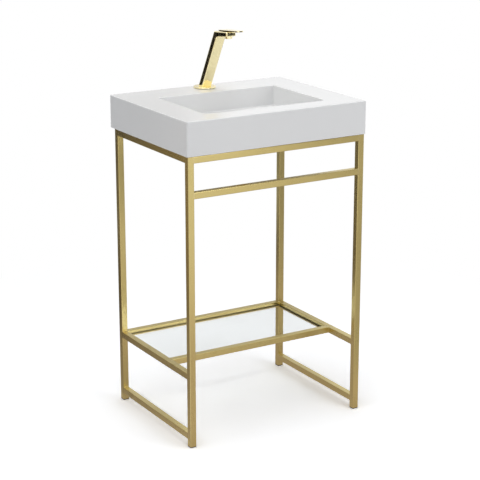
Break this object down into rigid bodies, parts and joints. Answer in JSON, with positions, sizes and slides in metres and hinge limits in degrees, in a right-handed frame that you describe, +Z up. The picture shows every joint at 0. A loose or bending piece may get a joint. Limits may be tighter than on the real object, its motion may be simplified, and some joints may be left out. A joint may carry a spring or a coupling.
{
  "type": "console sink with legs",
  "caption": "Rectangular white basin with a slanted single-lever tap on a gold square-tube stand with a towel bar and a glass shelf.",
  "frame": {"origin": "on the floor, below the centre of the basin's plan", "axes": "+X to the right, -Y to the front (towards the user), +Z up"},
  "size_m": [0.56, 0.44, 1.0861],
  "materials": {
    "gold_frame": "square steel tube, brushed and gold plated, satin",
    "gold_tap": "polished gold plate on cast and machined brass",
    "white_ceramic": "white glazed fireclay, satin gloss",
    "shelf_glass": "clear toughened glass with ground edges",
    "clear_silicone": "clear silicone",
    "black_rubber": "black rubber, matt",
    "black_plastic": "black moulded plastic",
    "white_plastic": "white moulded plastic",
    "plain_brass": "plain machined brass",
    "steel": "stainless steel"
  },
  "bodies": {
    "stand": {"basin": "white_ceramic", "basin_pads": "clear_silicone", "glass_shelf": "shelf_glass", "shelf_ledges": "gold_frame", "shelf_strips": "black_rubber", "foot_caps": "black_plastic", "drain_body": "gold_tap", "drain_flange_seal": "black_rubber", "drain_gasket": "black_rubber", "drain_nut": "plain_brass", "drain_tailpiece": "plain_brass", "drain_guide": "white_plastic", "tap_body": "gold_tap", "tap_base": "gold_tap", "tap_cartridge": "white_plastic", "cartridge_ring": "plain_brass", "aerator_housing": "gold_tap", "aerator_insert": "white_plastic", "tap_gasket": "black_rubber", "tap_shank": "plain_brass", "tap_rubber_washer": "black_rubber", "tap_steel_washer": "steel", "tap_nut": "plain_brass", "leg_front_left": "gold_frame", "leg_front_right": "gold_frame", "leg_back_left": "gold_frame", "leg_back_right": "gold_frame", "top_rail_front": "gold_frame", "top_rail_back": "gold_frame", "top_rail_left": "gold_frame", "top_rail_right": "gold_frame", "towel_bar": "gold_frame", "shelf_rail_front": "gold_frame", "shelf_rail_back": "gold_frame", "shelf_rail_left": "gold_frame", "shelf_rail_right": "gold_frame", "foot_rail_left": "gold_frame", "foot_rail_right": "gold_frame"},
    "spindle": {"tap_spindle": "plain_brass"},
    "lever": {"tap_lever": "gold_tap", "lever_pin": "steel"},
    "stopper": {"drain_stopper": "gold_tap", "stopper_ring": "black_rubber"}
  },
  "joints": [
    {"name": "lever_swivel", "type": "hinge", "parent": "stand", "child": "spindle", "pos_m": [0, 0.06432, 1.07492], "axis": [0, 0.0767, 0.9971], "range_deg": [-45, 45]},
    {"name": "lever_lift", "type": "hinge", "parent": "spindle", "child": "lever", "pos_m": [0, 0.0642, 1.07332], "axis": [-1, 0, 0], "range_deg": [0, 18]},
    {"name": "stopper_lift", "type": "slide", "parent": "stand", "child": "stopper", "axis": [0, 0, 1], "range_m": [0, 0.01]}
  ]
}
